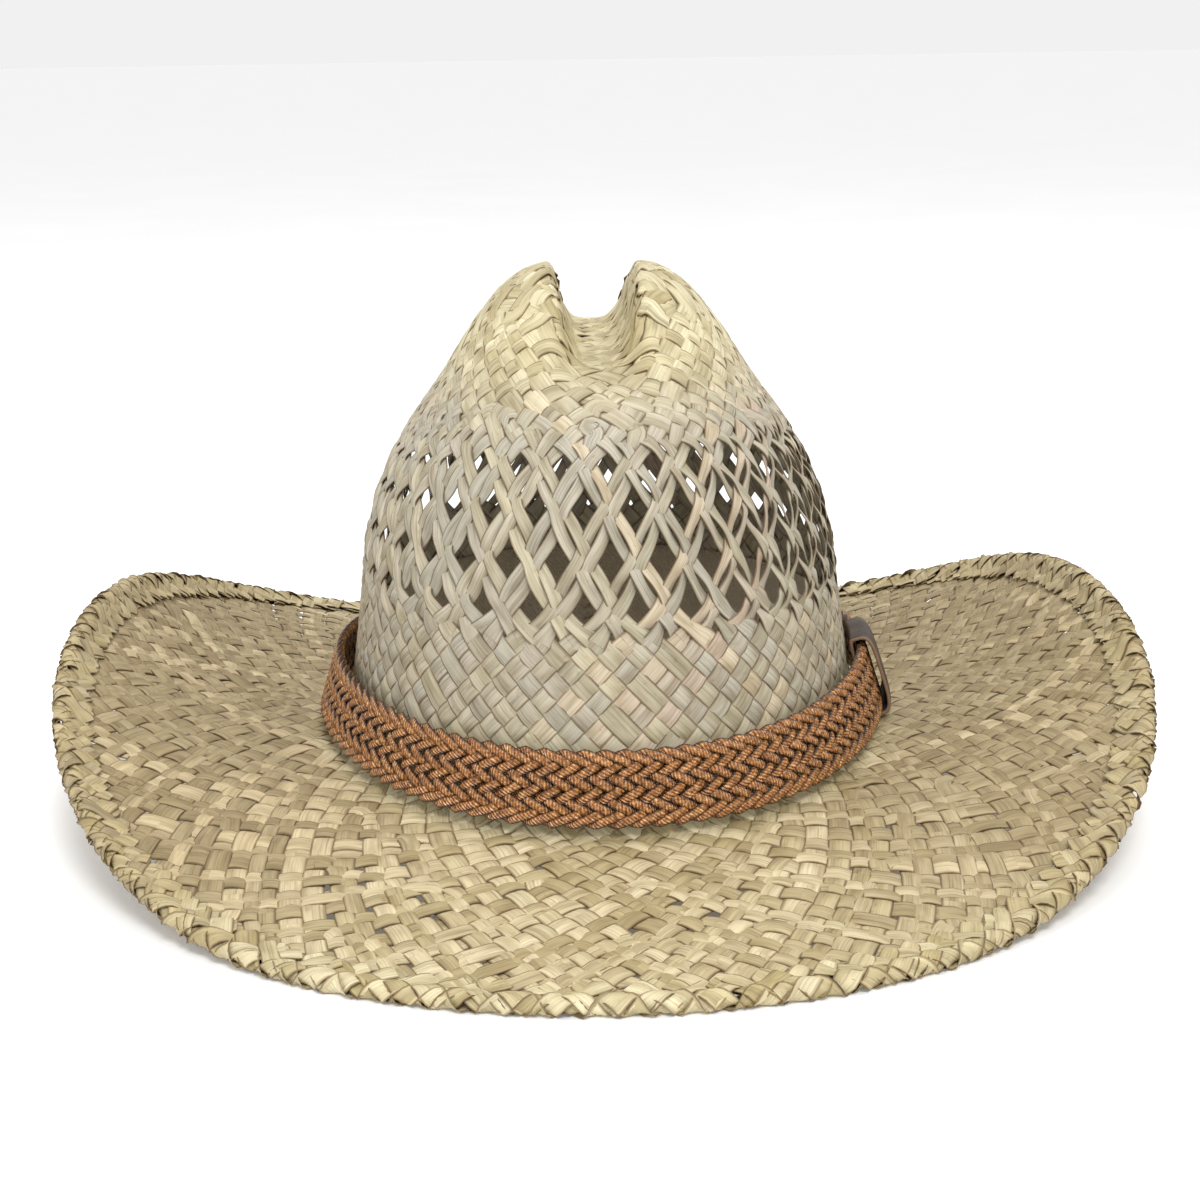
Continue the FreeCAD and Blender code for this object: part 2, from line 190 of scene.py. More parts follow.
def tip_table():
    """t at even shares of the way out from the middle of the tip, for each table angle."""
    t = np.linspace(0, TIP_END, 500)
    a, b = np.meshgrid(TABLE_ANGLES, t, indexing="ij")
    runs = np.linalg.norm(np.diff(crown_point(a, b), axis=1), axis=-1)
    total = np.concatenate([np.zeros((len(a), 1)), np.cumsum(runs, axis=1)], axis=1)
    share = total / total[:, -1:]
    return np.array([np.interp(TABLE_STEPS, row, t) for row in share])


TIP_TABLE = tip_table()


def place_of(angle, c):
    """The hat's m for a point c mm along a strip's way out from the middle of the tip."""
    u = np.clip(c / TIP_REACH, 0, 1) * (len(TABLE_STEPS) - 1)
    v = (angle / FULL_TURN % 1.0) * (len(TABLE_ANGLES) - 1)
    i, j = np.minimum(u.astype(int), len(TABLE_STEPS) - 2), v.astype(int)
    fu, fv = u - i, v - j
    low = TIP_TABLE[j, i] * (1 - fu) + TIP_TABLE[j, i + 1] * fu
    high = TIP_TABLE[j + 1, i] * (1 - fu) + TIP_TABLE[j + 1, i + 1] * fu
    tip = low * (1 - fv) + high * fv
    wall = TIP_END + (c - TIP_REACH) / WALL_REACH
    edge = 1.0 + (np.minimum(c, EDGE) - CROWN_END) / BRIM_WIDTH
    return np.where(c < TIP_REACH, tip, np.where(c < CROWN_END, wall, edge))


# ---- the paths of the strips ----

RINGS = np.arange(0.0, EDGE + 0.01, RING_STEP)
RINGS = np.concatenate([RINGS[RINGS < EDGE - 0.4], EDGE + HEM_RUN])


def smooth_step(x):
    x = np.clip(x, 0.0, 1.0)
    return x * x * (3 - 2 * x)


def mean_radius(c):
    """Mean radius of the hat's oval at c, mm."""
    turn = np.linspace(0, FULL_TURN, 121)
    points = hat_point(turn, place_of(turn, np.full_like(turn, c)))[:, :2]
    return np.linalg.norm(np.diff(points, axis=0), axis=1).sum() / FULL_TURN


def shortest(angle):
    """The same angle between minus and plus half a turn."""
    return (angle + math.pi) % FULL_TURN - math.pi


def neighbours(ordered):
    """The next angle and the one before, for angles in order round the hat."""
    return (np.append(ordered[1:], ordered[0] + FULL_TURN),
            np.append(ordered[-1] - FULL_TURN, ordered[:-1]))


def crown_drift():
    """How many spacings every strip has moved round at each ring beyond the tip."""
    wall = RINGS[(RINGS >= TIP_REACH) & (RINGS <= CROWN_END + RING_STEP)]
    t = TIP_END + (wall - TIP_REACH) / WALL_REACH
    drift = np.interp(t, [row[0] for row in OPEN_ROWS], [row[1] for row in OPEN_ROWS])
    beyond = t > OPEN_END
    rate = np.array([RING_STEP / (SPACING * mean_radius(c)) for c in wall])
    drift[beyond] = OPEN_ROWS[-1][1] + np.cumsum(rate[beyond])
    padded = np.concatenate([
        [drift[0] - (3 - k) * rate[0] for k in range(3)], drift,
        [drift[-1] + (k + 1) * rate[-1] for k in range(3)]])
    return wall, np.convolve(padded, np.ones(7) / 7, mode="valid")


def open_width():
    """Share of the full width left to a strip at each ring of the openwork."""
    t = TIP_END + (RINGS - TIP_REACH) / WALL_REACH
    rows = np.array([row[0] for row in OPEN_ROWS[1:-1]])
    near = np.exp(-((t[:, None] - rows) / 0.017) ** 2).max(axis=1)
    inside = smooth_step((t - 0.445) / 0.03) * smooth_step((0.737 - t) / 0.03)
    outer = np.exp(-((t[:, None] - rows[[0, -1]]) / 0.02) ** 2).max(axis=1)
    return 1 - inside * (0.34 + 0.05 * near - 0.10 * outer), inside * (1 - near)


OPEN_SHARE, BETWEEN = open_width()
GRID_RING = int(np.searchsorted(RINGS, GRID_BENDS * GRID_PITCH))
TIP_COUNTS = ((GRID_BENDS * GRID_PITCH, 80.0, 87.0), (GRID_BENDS * 4, 48, STRIPS))


class Strips:
    """Ring by ring angle of both halves of each strip; not a number before it starts.

    Every strip is bent once, near the middle of the tip or where it is added, and both
    halves run from there to the brim edge. Half 0 moves round with growing angle and half 1
    against it.
    """

    def __init__(self):
        self.paths = np.full((2, EDGE_STRIPS, len(RINGS)), np.nan)
        self.starts = np.zeros(EDGE_STRIPS, int)
        self.count = 0

    def bend_at(self, turn, ring):
        self.paths[:, self.count, ring] = turn
        self.starts[self.count] = ring
        self.count += 1

    def widest_gap(self, ring):
        """Of some places round the hat, the one with most room for another strip."""
        turns = RNG.random(60) * FULL_TURN
        room = np.ones(len(turns))
        for half in (0, 1):
            away = np.abs(shortest(
                turns[:, None] - self.paths[half, :self.count, ring][None, :]))
            room *= np.sort(away, axis=1)[:, :2].sum(axis=1)
        return turns[np.argmax(room)]

    def carry(self, first, last, target):
        """Takes all strips from one ring to a later one, evening out the room between them."""
        for ring in range(first + 1, last + 1):
            step = (RINGS[ring] - RINGS[ring - 1]) / mean_radius(RINGS[ring])
            now = self.paths[:, :self.count, ring - 1] + np.array([[step], [-step]])
            age = ring - self.starts[:self.count]
            for half in (0, 1):
                wrapped = now[half] % FULL_TURN
                order = np.argsort(wrapped)
                ordered = wrapped[order]
                after, before = neighbours(ordered)
                strength = EVENING * np.clip(age[order] / 6.0, 0.0, 1.0)
                now[half][order] += strength * ((after + before) / 2 - ordered)
            self.paths[:, :self.count, ring] = now
            while self.count < target(RINGS[ring]):
                self.bend_at(self.widest_gap(ring), ring)

    def round_bends(self, first, reach):
        """Opens the sharp bends of the strips from that number on into small arcs."""
        for j in range(first, self.count):
            start = self.starts[j]
            age = RINGS - RINGS[start]
            spread = reach / mean_radius(RINGS[start]) * np.sqrt(np.clip(age / 2.5, 0, 1))
            self.paths[0, j] += spread
            self.paths[1, j] -= spread


def tip_grid(strips):
    """The middle of the tip is a plain square weave, bent over its four diagonals."""
    for axis in range(4):
        centre = (axis + 0.5) * math.pi / 2
        for k in range(GRID_BENDS):
            birth = (k + 0.5) * GRID_PITCH
            start = int(np.searchsorted(RINGS, birth))
            swing = np.arccos(birth / RINGS[start:GRID_RING + 1])
            j = strips.count
            strips.bend_at(centre, start)
            strips.paths[0, j, start:GRID_RING + 1] = centre + swing
            strips.paths[1, j, start:GRID_RING + 1] = centre - swing


def open_work(strips):
    """Settles the strips on even places where the tip ends and pairs them below it."""
    wall, drift = crown_drift()
    first = int(np.searchsorted(RINGS, TIP_REACH))
    pull_in = smooth_step((wall - TIP_REACH) / 7.0)
    pull_out = smooth_step((OPEN_REACH + 1.0 - wall) / 7.0)
    pull = PAIR_PULL * pull_in * pull_out * (1 - 0.30 * BETWEEN[first:first + len(wall)])
    for half, sign in ((0, 1), (1, -1)):
        here = strips.paths[half, :STRIPS, first] % FULL_TURN
        order = np.argsort(here)
        offset = here[order] / SPACING - np.arange(STRIPS) - 0.5
        lowest = round(float(np.mean(offset)))
        for n, j in enumerate(order):
            anchor = (lowest + n + 0.5) * SPACING
            closing = -pull if (lowest + n) % 2 == 0 else pull
            sway = PAIR_SWAY * pull / PAIR_PULL * np.sin(wall / 7.0 + 2.4 * n)
            path = strips.paths[half, j]
            path[first:first + len(wall)] = anchor + SPACING * (sign * drift + closing + sway)
            shift = here[j] - path[first - 1]
            path[:first] += round(shift / FULL_TURN) * FULL_TURN
            birth = max(RINGS[strips.starts[j]], TIP_REACH - 16.0)
            share = smooth_step((RINGS[:first] - birth) / (TIP_REACH - birth))
            path[:first] += share * (anchor - sign * 0.13 * SPACING - path[first - 1])
    return first, first + len(wall) - 1


def soften(strips, centre, half_span):
    """Rounds the change of lean where the tip meets the openwork."""
    span = 6
    kernel = np.hanning(2 * span + 3)[1:-1]
    kernel /= kernel.sum()
    for half in (0, 1):
        for j in range(STRIPS):
            low = max(strips.starts[j], centre - half_span)
            row = strips.paths[half, j, low:centre + half_span].copy()
            if len(row) < 4 * span:
                continue
            ramp = np.linspace(row[0], row[-1], len(row))
            bend = np.convolve(row - ramp, kernel, mode="same")
            steps = np.arange(len(row))
            weight = smooth_step(steps / span) * smooth_step(steps[::-1] / span)
            strips.paths[half, j, low:centre + half_span] = row + weight * (ramp + bend - row)


def lay_strips():
    """All the strips, from the middle of the tip to the end of the hem."""
    strips = Strips()
    tip_grid(strips)
    first = int(np.searchsorted(RINGS, TIP_REACH))
    strips.carry(GRID_RING, first, lambda c: int(np.interp(c, *TIP_COUNTS)))
    strips.round_bends(GRID_BENDS * 4, BEND_SPREAD)
    first, last = open_work(strips)
    soften(strips, first, 14)
    extra = EDGE_STRIPS - STRIPS
    strips.carry(last, len(RINGS) - 1, lambda c: min(
        EDGE_STRIPS, STRIPS + int(extra * (c - CROWN_END) / BRIM_WIDTH / 0.95)))
    strips.round_bends(STRIPS, BEND_SPREAD)
    return strips


def find_crossings(paths):
    """(strip of half 0, strip of half 1, ring with fraction) of every crossing."""
    found = []
    before = None
    for r in range(paths.shape[2]):
        gap = shortest(paths[0, :, r][:, None] - paths[1, :, r][None, :])
        if before is not None:
            with np.errstate(invalid="ignore"):
                hit = (before < 0) & (gap >= 0) & (gap - before < 1.0)
            for i, j in zip(*np.nonzero(hit)):
                part = -before[i, j] / (gap[i, j] - before[i, j])
                found.append((int(i), int(j), r - 1 + float(part)))
        before = gap
    return found


def over_and_under(crossings):
    """Chooses which strip passes over at each crossing so that every strip alternates."""
    lines = [[[] for _ in range(EDGE_STRIPS)] for _ in (0, 1)]
    for n, (i, j, r) in enumerate(crossings):
        lines[0][i].append((r, n))
        lines[1][j].append((r, n))
    links = [[] for _ in crossings]
    for half in lines:
        for line in half:
            line.sort()
            for (_, a), (_, b) in zip(line, line[1:]):
                links[a].append((b, -1))
                links[b].append((a, -1))
    for line, other in zip(*lines):
        if line and other:
            links[line[0][1]].append((other[0][1], 1))
            links[other[0][1]].append((line[0][1], 1))
    state = [0] * len(crossings)
    for seed in range(len(crossings)):
        if state[seed]:
            continue
        state[seed] = 1
        queue = [seed]
        while queue:
            a = queue.pop(0)
            for b, flip in links[a]:
                if not state[b]:
                    state[b] = state[a] * flip
                    queue.append(b)
    return lines, state


def wave_height(line, state, sign, rings):
    """Offset of a strip at the given rings from the middle of the weave."""
    if not line:
        return np.zeros(len(rings))
    at = np.array([r for r, _ in line])
    level = np.array([sign * state[n] for _, n in line], float)
    at = np.concatenate([[at[0] - WAVE_TAIL], at, [at[-1] + WAVE_TAIL]])
    level = np.concatenate([[-level[0]], level, [-level[-1]]])
    i = np.clip(np.searchsorted(at, rings, side="right") - 1, 0, len(at) - 2)
    u = np.clip((rings - at[i]) / np.maximum(at[i + 1] - at[i], 1e-6), 0, 1)
    turn_over = np.tanh(WAVE_SHARPNESS * np.cos(math.pi * u)) / math.tanh(WAVE_SHARPNESS)
    mix = 0.5 - 0.5 * turn_over
    return WAVE * (level[i] * (1 - mix) + level[i + 1] * mix)


strips = lay_strips()
paths = strips.paths
crossings = find_crossings(paths)
lines, state = over_and_under(crossings)


# ---- meshes ----

PRESSED_BELOW = 0.9         # mm above the floor


def press(points):
    """Squeezes what is lowest, so that it lies on the floor and never goes through it."""
    z = points[..., 2] / PRESSED_BELOW
    flat = np.where(z < 1.0, np.exp(np.minimum(z, 1.0) - 1.0), z) * PRESSED_BELOW
    return np.concatenate([points[..., :2], flat[..., None]], -1)


def add_to_scene(name, data):
    thing = bpy.data.objects.new(name, data)
    bpy.context.scene.collection.objects.link(thing)
    return thing


def make_piece(name, runs, body, node, material, sharp=50.0):
    """One mesh from runs: (points [n, k, 3] in mm, attributes {name: [n, k]}, closed)."""
    verts, quads, caps, extras = [], [], [], {}
    base = 0
    for points, attributes, closed in runs:
        n, k = points.shape[:2]
        verts.append(press(points).reshape(-1, 3) * MM)
        for key, value in attributes.items():
            extras.setdefault(key, []).append(np.broadcast_to(value, (n, k)).reshape(-1))
        rows = np.arange(n if closed else n - 1)[:, None]
        cols = np.arange(k)[None, :]
        nxt, after = (cols + 1) % k, (rows + 1) % n
        corners = (rows * k + cols, rows * k + nxt, after * k + nxt, after * k + cols)
        quads.append(np.stack(corners, -1).reshape(-1, 4) + base)
        if not closed:
            caps += [np.arange(k)[::-1] + base, np.arange(k) + base + (n - 1) * k]
        base += n * k
    faces = np.concatenate(quads).tolist() + [cap.tolist() for cap in caps]
    coords = np.concatenate(verts)
    mesh = bpy.data.meshes.new(name)
    mesh.from_pydata(coords.tolist(), [], faces)
    for key, value in extras.items():
        layer = mesh.attributes.new(key, "FLOAT", "POINT")
        layer.data.foreach_set("value", np.concatenate(value).astype(np.float32))
    mesh.shade_smooth()
    mesh.set_sharp_from_angle(angle=math.radians(sharp))
    mesh.validate()
    mesh.materials.append(material)
    piece = add_to_scene(name, mesh)
    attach(piece, body)
    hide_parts(node)
    print(name, len(coords), "points", sum(len(face) - 2 for face in faces), "triangles")


# Section of a leaf strip: (share of the half-width, share of the half-thickness)
STRIP_SECTION = np.array([
    (-1.0, -0.35), (-0.46, 1.0), (0.40, 1.08), (1.0, -0.25),
    (1.0, -1.35), (0.42, -0.95), (-0.42, -0.9), (-1.0, -1.45)])
# The hem lies on its face, so its strips are cupped the other way
HEM_SECTION = STRIP_SECTION[::-1] * [1.0, -0.6]
FALL_LIMIT = 2.2            # most that a section is bent away from flat, mm


def bend_across(angle, m, side, width):
    """How far the hat's surface falls away from flat at the section's points."""
    m = np.maximum(m, 0.012)
    here = hat_point(angle, m)
    along_a = (hat_point(angle + PROBE, m) - hat_point(angle - PROBE, m)) / (2 * PROBE)
    along_m = (hat_point(angle, m + PROBE) - hat_point(angle, m - PROBE)) / (2 * PROBE)
    aa, mm = (along_a ** 2).sum(-1), (along_m ** 2).sum(-1)
    am = (along_a * along_m).sum(-1)
    sa, sm = (along_a * side).sum(-1), (along_m * side).sum(-1)
    scale = np.maximum(aa * mm - am * am, 1e-3 * aa * mm)
    turn, out = (sa * mm - sm * am) / scale, (sm * aa - sa * am) / scale
    falls = []
    for share in (-1.0, -0.42, 0.42, 1.0):
        reach = share * width / 2
        target = m + out * reach
        there = hat_point(angle + turn * reach, np.clip(target, 0.0, 2.0))
        fall = there - here - side * reach[:, None]
        size = np.linalg.norm(fall, axis=-1)
        fits = (target > 0.0) & (target < 2.0) & (m > 0.03)
        fall *= (np.minimum(size, FALL_LIMIT) / np.maximum(size, 1e-6) * fits)[:, None]
        falls.append(fall)
    return np.stack([falls[k] for k in (0, 1, 2, 3, 3, 2, 1, 0)], axis=1)


def sweep(points, normals, width, thick, roll, section=STRIP_SECTION, where=None):
    """A section carried along a path; roll turns it about the path."""
    ahead = unit(np.gradient(points, axis=0))
    side = unit(np.cross(ahead, normals))
    up = np.cross(side, ahead)
    fall = 0.0 if where is None else bend_across(*where, side, width)
    cos, sin = np.cos(roll)[:, None], np.sin(roll)[:, None]
    side, up = side * cos + up * sin, up * cos - side * sin
    across = section[:, 0][None, :, None] * (width / 2)[:, None, None]
    high = section[:, 1][None, :, None] * thick[:, None, None]
    return points[:, None, :] + side[:, None, :] * across + up[:, None, :] * high + fall


LEANING, FULLNESS = 0.70, 1.09  # a strip crosses the rings at about 45 degrees
NARROWEST, WIDEST = 4.6, 7.8    # mm
SMOOTHING = 13                  # rings


def widths(half):
    """Width of each strip at each ring, from the room between its neighbours."""
    count = paths.shape[1]
    room = np.full((count, len(RINGS)), GRID_PITCH * 0.97)
    for r in range(len(RINGS)):
        alive = np.nonzero(~np.isnan(paths[half, :, r]))[0]
        if len(alive) < 6 or r <= GRID_RING:
            continue
        spots = paths[half, alive, r] % FULL_TURN
        order = np.argsort(spots)
        after, before = neighbours(spots[order])
        room[alive[order], r] = (after - before) / 2 * mean_radius(RINGS[r]) * LEANING
    room = np.clip(room * FULLNESS, NARROWEST, WIDEST)
    kernel = np.ones(SMOOTHING) / SMOOTHING
    for j in range(count):
        padded = np.pad(room[j], SMOOTHING // 2, mode="edge")
        room[j] = np.convolve(padded, kernel, mode="valid")
    return room


ROOM = [widths(0), widths(1)]

# Each zone of the weave is a piece: (name, CAD node that it replaces, where it ends)
ZONES = (
    ("tip_weave", "crown_tip", TIP_REACH),
    ("openwork_weave", "crown_openwork", OPEN_REACH),
    ("wall_weave", "crown_wall", CROWN_END),
    ("brim_inner_weave", "brim", CROWN_END + 40.0),
    ("brim_middle_weave", "brim", CROWN_END + 62.0),
    ("brim_outer_weave", "brim", EDGE + 0.01),
    ("hem_weave", "brim_hem", math.inf))
ZONE_ENDS = [end for _, _, end in ZONES[:-1]]
zone_runs = [[] for _ in ZONES]


def add_run(store, points, normals, width, roll, tone, chance, where):
    """Adds a length of strip to a piece; where is (angle, m), or nothing in the hem."""
    section = HEM_SECTION if where is None else STRIP_SECTION
    thick = np.full(len(points), STRIP_HALF_THICK)
    shape = sweep(points, normals, width, thick, roll, section, where)
    store.append((shape, {
        "along": run_length(points)[:, None], "across": section[:, 0][None, :],
        "chance": np.full((1, 1), chance), "tone": tone[:, None]}, False))


def hem_path(run):
    """Where the middle of a strip is, (mm out, mm up), after that length of the hem."""
    return np.interp(run, HEM_RUN, HEM_PATH[:, 0]), np.interp(run, HEM_RUN, HEM_PATH[:, 1])


def fold_hem(angle, c, height, points, normal):
    """Carries the stations beyond the brim edge up round the wire and back."""
    folded = c > EDGE
    run = np.clip(c - EDGE, 0.0, HEM_RUN[-1])
    reach, rise = hem_path(run)
    reach = reach - BRIM_WIDTH
    lean_out, lean_up = np.subtract(hem_path(run + HEM_PROBE), hem_path(run - HEM_PROBE))
    size = np.maximum(np.hypot(lean_out, lean_up), 1e-6)
    edge = np.full_like(angle, 2.0)
    out = unit(hat_point(angle, edge) - hat_point(angle, edge - 0.02))
    facing = unit(normal * (lean_out / size)[:, None] - out * (lean_up / size)[:, None])
    base = hat_point(angle, edge) + out * reach[:, None] + normal * rise[:, None]
    points = np.where(folded[:, None], base + facing * height[:, None], points)
    return points, np.where(folded[:, None], facing, normal)


def half_strip(half, j):
    """Stations of half a strip, from its bend to the end of the hem."""
    first = strips.starts[j]
    rings = np.arange(first, len(RINGS), dtype=float)
    c = RINGS[first:]
    angle = oval(paths[half, j, first:])
    m = place_of(angle, c)
    height = wave_height(lines[half][j], state, 1 if half == 0 else -1, rings)
    width = ROOM[half][j, first:] * OPEN_SHARE[first:]
    return angle, m, c, height, width, BETWEEN[first:]


STRAIGHTEN = 0.6                        # share of its unevenness that a strip loses
END_TAPER = (0.72, 0.92)
WIDTH_SPREAD, WIDTH_SWELL, SWELL_LENGTH = 0.035, 0.02, 37.0
ROLL_SPREAD, ROLL_BETWEEN = 0.02, 0.45  # strips turn on edge between the openwork's crossings
GREY_FROM, GREY_TO, GREY_FADE = 22, 132, 22     # heights between which the straw is grey, mm
SIDE_SHADE_DEPTH = 0.74                       # painted shade: how far the brim's curled sides are darkened towards brown


def weave():
    """Lays every strip and cuts it into lengths, one for each zone that it runs through."""
    for j in range(EDGE_STRIPS):
        chance = float(RNG.random())
        jitter = RNG.normal(0, 1, 4)
        down = half_strip(0, j)
        back = half_strip(1, j)
        angle, m, c, height, width, twist = (
            np.concatenate([b[::-1], a]) for a, b in zip(down, back))
        count = len(back[0])
        normal = hat_normal(angle, m)
        points = hat_point(angle, m) + normal * height[:, None]
        points, normal = fold_hem(angle, c, height, points, normal)
        bow = np.zeros_like(points)
        bow[1:-1] = (points[2:] + points[:-2]) / 2 - points[1:-1]
        points = points + STRAIGHTEN * bow
        width = width * (1 + WIDTH_SPREAD * jitter[0])
        phase = np.cumsum(np.full(len(c), RING_STEP)) / SWELL_LENGTH
        width = width * (1 + WIDTH_SWELL * np.sin(FULL_TURN * (phase + jitter[1])))
        lean = np.where(np.arange(len(c)) < count, -1.0, 1.0)
        roll = ROLL_SPREAD * jitter[2] * np.sin(FULL_TURN * phase * 0.7 + jitter[3])
        roll = roll + twist * lean * ROLL_BETWEEN
        z = points[:, 2]
        face = smooth_step((z - GREY_FROM) / GREY_FADE) * smooth_step((GREY_TO - z) / GREY_FADE)
        # painted shade: beyond the crown, the straw darkens towards brown on the brim's curled
        # sides, by angle round the hat; on the crown the same value holds the wall's grey
        side = SIDE_SHADE_DEPTH * smooth_step((np.abs(np.sin(angle)) - 0.35) / 0.45)
        tone = np.where(c < CROWN_END, face, side * smooth_step((c - CROWN_END) / 12))
        tone = np.clip(tone * (0.85 + 0.15 * jitter[1]), 0, 1)
        zone = np.searchsorted(ZONE_ENDS, c, side="right")
        width[:2] *= END_TAPER
        width[-2:] *= END_TAPER[::-1]
        trim = RNG.integers(0, 3, 2)
        cuts = np.nonzero(np.diff(zone))[0] + 1
        for a, b in zip(np.append(trim[0], cuts), np.append(cuts, len(c) - trim[1])):
            b = min(b + 1, len(c))
            if b - a < 3:
                continue
            part = slice(a, b)
            where = None if c[a] > EDGE else (angle[part], m[part])
            add_run(zone_runs[zone[a]], points[part], normal[part], width[part], roll[part],
                    tone[part], chance, where)


weave()


# ---- materials ----

class Nodes:
    """A short way to write a node tree."""

    def __init__(self, name):
        self.material = bpy.data.materials.new(name)
        self.material.use_nodes = True
        self.tree = self.material.node_tree
        self.shader = self.tree.nodes["Principled BSDF"]

    def add(self, kind, inputs=(), **settings):
        node = self.tree.nodes.new(kind)
        for key, value in settings.items():
            setattr(node, key, value)
        for key, value in dict(inputs).items():
            self.put(node.inputs[key], value)
        return node

    def put(self, socket, value):
        if isinstance(value, bpy.types.NodeSocket):
            self.tree.links.new(value, socket)
        else:
            socket.default_value = value

    def attribute(self, name):
        return self.add("ShaderNodeAttribute", attribute_name=name).outputs["Fac"]

    def object_space(self):
        return self.add("ShaderNodeTexCoord").outputs["Object"]

    def maths(self, kind, a, b=0.0):
        return self.add("ShaderNodeMath", {0: a, 1: b}, operation=kind).outputs[0]

    def times(self, a, b):
        return self.maths("MULTIPLY", a, b)

    def plus(self, a, b):
        return self.maths("ADD", a, b)

    def vector(self, x, y, z):
        return self.add("ShaderNodeCombineXYZ", {0: x, 1: y, 2: z}).outputs[0]

    def noise(self, vector, scale, detail=2.0, rough=0.5):
        node = self.add("ShaderNodeTexNoise", {
            "Vector": vector, "Scale": scale, "Detail": detail, "Roughness": rough})
        return node.outputs["Fac"]

    def bands(self, vector, direction="X", **inputs):
        node = self.add("ShaderNodeTexWave", {"Vector": vector, **inputs}, wave_type="BANDS",
                        bands_direction=direction)
        return node.outputs["Fac"]

    def ramp(self, value, stops):
        """Stops are (position, grey or colour)."""
        node = self.add("ShaderNodeValToRGB", {"Fac": value})
        ramp = node.color_ramp
        while len(ramp.elements) < len(stops):
            ramp.elements.new(0.5)
        for element, (at, colour) in zip(ramp.elements, stops):
            element.position = at
            colour = colour if isinstance(colour, tuple) else (colour,) * 3
            element.color = (*colour, 1.0)
        return node.outputs["Color"]

    def mix(self, share, a, b, kind="MIX"):
        node = self.add("ShaderNodeMix", data_type="RGBA", blend_type=kind)
        self.put(node.inputs["Factor"], share)
        self.put(node.inputs["A"], (*a, 1.0) if isinstance(a, tuple) else a)
        self.put(node.inputs["B"], (*b, 1.0) if isinstance(b, tuple) else b)
        return node.outputs["Result"]

    def tint(self, share, colour, by):
        return self.mix(share, colour, by, "MULTIPLY")

    def bump(self, height, strength, distance):
        node = self.add("ShaderNodeBump", {
            "Height": height, "Strength": strength, "Distance": distance})
        self.put(self.shader.inputs["Normal"], node.outputs[0])

    def finish(self, colour, rough, **sockets):
        self.put(self.shader.inputs["Base Color"], colour)
        self.put(self.shader.inputs["Roughness"], rough)
        for key, value in sockets.items():
            self.shader.inputs[key.replace("_", " ")].default_value = value
        return self.material


def straw(name, yellow, pale, dull, pink):
    """Leaf strips: yellow to pale, or dull to pink by tone, painted shade on the brim."""
    n = Nodes(name)
    along, across = n.attribute("along"), n.attribute("across")
    chance, tone = n.attribute("chance"), n.attribute("tone")
    shift = n.times(chance, 57.0)
    fine = n.noise(n.vector(n.times(along, 0.035), n.times(across, 5.5), shift), 1.0, 4.0, 0.65)
    broad = n.noise(n.vector(n.times(along, 0.08), n.times(across, 0.9), shift), 1.0, 2.0, 0.5)
    blotch = n.noise(n.vector(n.times(along, 0.35), across, shift), 1.0, 3.0, 0.6)
    each = n.maths("FRACT", n.times(chance, 17.3))
    warm = n.mix(each, yellow, pale)
    few = n.ramp(each, [(0.0, 0.0), (0.78, 0.25), (0.86, 1.0)])
    cool = n.mix(few, dull, pink)
    colour = n.mix(tone, warm, cool)
    streak = n.ramp(fine, [(0.28, 0.52), (0.46, 0.92), (0.72, 1.16)])
    colour = n.tint(1.0, colour, streak)
    wash = n.ramp(broad, [(0.30, (0.68, 0.61, 0.50)), (0.62, (1.16, 1.14, 1.12))])
    colour = n.tint(0.8, colour, wash)
    spots = n.ramp(blotch, [(0.26, (0.66, 0.52, 0.38)), (0.38, 1.0)])
    colour = n.tint(0.55, colour, spots)
    # painted shade: each strip darkens towards its side edges, where it meets and goes under its
    # neighbours
    edge = n.ramp(n.maths("ABSOLUTE", across), [(0.77, 1.0), (0.95, (0.30, 0.21, 0.12))])
    colour = n.tint(0.85, colour, edge)
    n.bump(n.plus(n.times(fine, 0.7), n.times(blotch, 0.2)), 0.55, 0.00035)
    rough = n.ramp(fine, [(0.3, 0.66), (0.7, 0.50)])
    return n.finish(colour, rough, Specular_IOR_Level=0.42)


def fabric(name, base, dark):
    n = Nodes(name)
    thread = n.vector(n.attribute("along"), n.attribute("across"), 0.0)
    checks = n.bands(thread, "DIAGONAL", Scale=0.55, Distortion=0.6)
    fuzz = n.noise(n.object_space(), 900.0, 4.0, 0.6)
    colour = n.mix(n.times(checks, 0.8), dark, base)
    colour = n.tint(0.35, colour, n.ramp(fuzz, [(0.3, 0.5), (0.7, 1.2)]))
    n.bump(n.plus(checks, n.times(fuzz, 0.4)), 0.5, 0.0003)
    return n.finish(colour, 0.85, Sheen_Weight=0.25, Sheen_Roughness=0.5)


